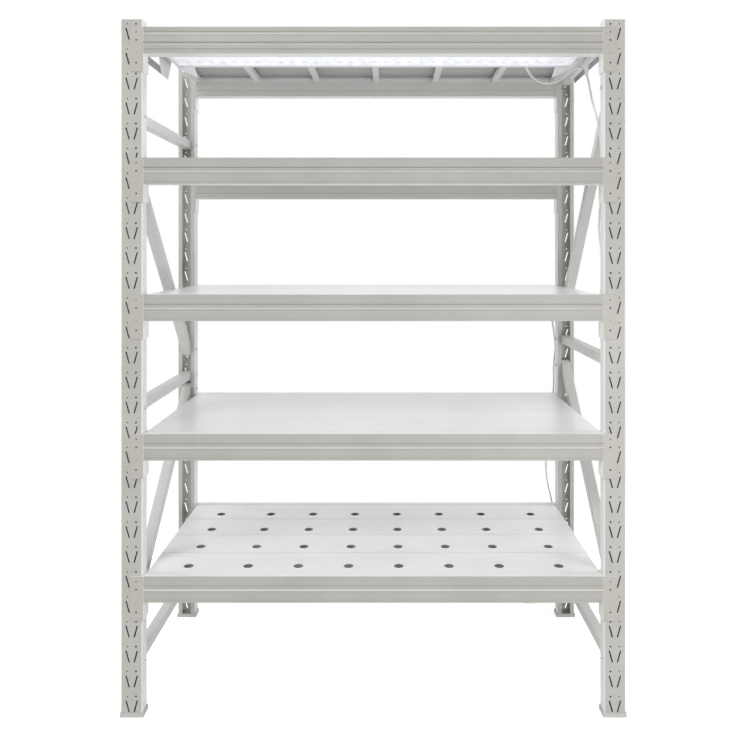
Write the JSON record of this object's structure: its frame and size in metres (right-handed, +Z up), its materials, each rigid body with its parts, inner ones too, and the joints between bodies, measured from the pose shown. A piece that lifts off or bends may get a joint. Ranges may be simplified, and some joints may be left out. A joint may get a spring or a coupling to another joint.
{
  "type": "hydroponic rack",
  "caption": "Tall open steel rack with slotted uprights, hooked step beams, white boards, perforated planting boards over a tray, and a corded grow lamp under its top tier.",
  "frame": {"origin": "centre of the rack's footprint, on the floor that its feet stand on", "axes": "+Z up, front towards -Y, +X to the right seen from the front"},
  "size_m": [1.526, 0.819, 2.1],
  "materials": {
    "grey_paint": "satin powder coat, warm light grey",
    "beam_paint": "satin powder coat, warm light grey",
    "white_paint": "satin white paint",
    "white_plastic": "smooth white plastic",
    "tray_plastic": "moulded white plastic",
    "lens_plastic": "clear cover over a field of small lamps",
    "foot_plastic": "moulded grey plastic",
    "cord_plastic": "white cord jacket"
  },
  "bodies": {
    "rack": {"post_front_left": "grey_paint", "foot_front_left": "foot_plastic", "post_front_right": "grey_paint", "foot_front_right": "foot_plastic", "post_rear_left": "grey_paint", "foot_rear_left": "foot_plastic", "post_rear_right": "grey_paint", "foot_rear_right": "foot_plastic", "beam_front_1": "beam_paint", "beam_rear_1": "beam_paint", "beam_front_2": "beam_paint", "beam_rear_2": "beam_paint", "beam_front_3": "beam_paint", "beam_rear_3": "beam_paint", "beam_front_4": "beam_paint", "beam_rear_4": "beam_paint", "beam_front_5": "beam_paint", "beam_rear_5": "beam_paint", "brace_left_low_strut": "grey_paint", "brace_left_low_diagonal": "grey_paint", "brace_left_middle_strut": "grey_paint", "brace_left_high_diagonal": "grey_paint", "brace_left_high_strut": "grey_paint", "brace_right_low_strut": "grey_paint", "brace_right_low_diagonal": "grey_paint", "brace_right_middle_strut": "grey_paint", "brace_right_high_diagonal": "grey_paint", "brace_right_high_strut": "grey_paint", "deck_frame_1": "beam_paint", "deck_frame_2": "beam_paint", "deck_frame_3": "beam_paint", "deck_frame_4": "beam_paint", "deck_frame_5": "beam_paint", "board_2_1": "white_paint", "board_2_2": "white_paint", "board_2_3": "white_paint", "board_2_4": "white_paint", "board_3_1": "white_paint", "board_3_2": "white_paint", "board_3_3": "white_paint", "board_3_4": "white_paint", "board_4_1": "white_paint", "board_4_2": "white_paint", "board_4_3": "white_paint", "board_4_4": "white_paint", "top_board": "white_paint", "nutrient_tray": "tray_plastic", "lamp_housing": "white_paint", "lamp_lens": "lens_plastic", "lamp_hanger_left": "white_paint", "lamp_hanger_right": "white_paint", "lamp_gland": "white_plastic", "lamp_lead": "cord_plastic", "lead_coil": "cord_plastic", "lead_plug": "cord_plastic"},
    "planting_board_1": {"planting_board_1": "white_plastic"},
    "planting_board_2": {"planting_board_2": "white_plastic"},
    "planting_board_3": {"planting_board_3": "white_plastic"},
    "planting_board_4": {"planting_board_4": "white_plastic"}
  },
  "joints": [
    {"name": "planting_board_1_lift", "type": "slide", "parent": "rack", "child": "planting_board_1", "axis": [0, 0, 1], "range_m": [0, 0.15]},
    {"name": "planting_board_2_lift", "type": "slide", "parent": "rack", "child": "planting_board_2", "axis": [0, 0, 1], "range_m": [0, 0.15]},
    {"name": "planting_board_3_lift", "type": "slide", "parent": "rack", "child": "planting_board_3", "axis": [0, 0, 1], "range_m": [0, 0.15]},
    {"name": "planting_board_4_lift", "type": "slide", "parent": "rack", "child": "planting_board_4", "axis": [0, 0, 1], "range_m": [0, 0.15]}
  ]
}
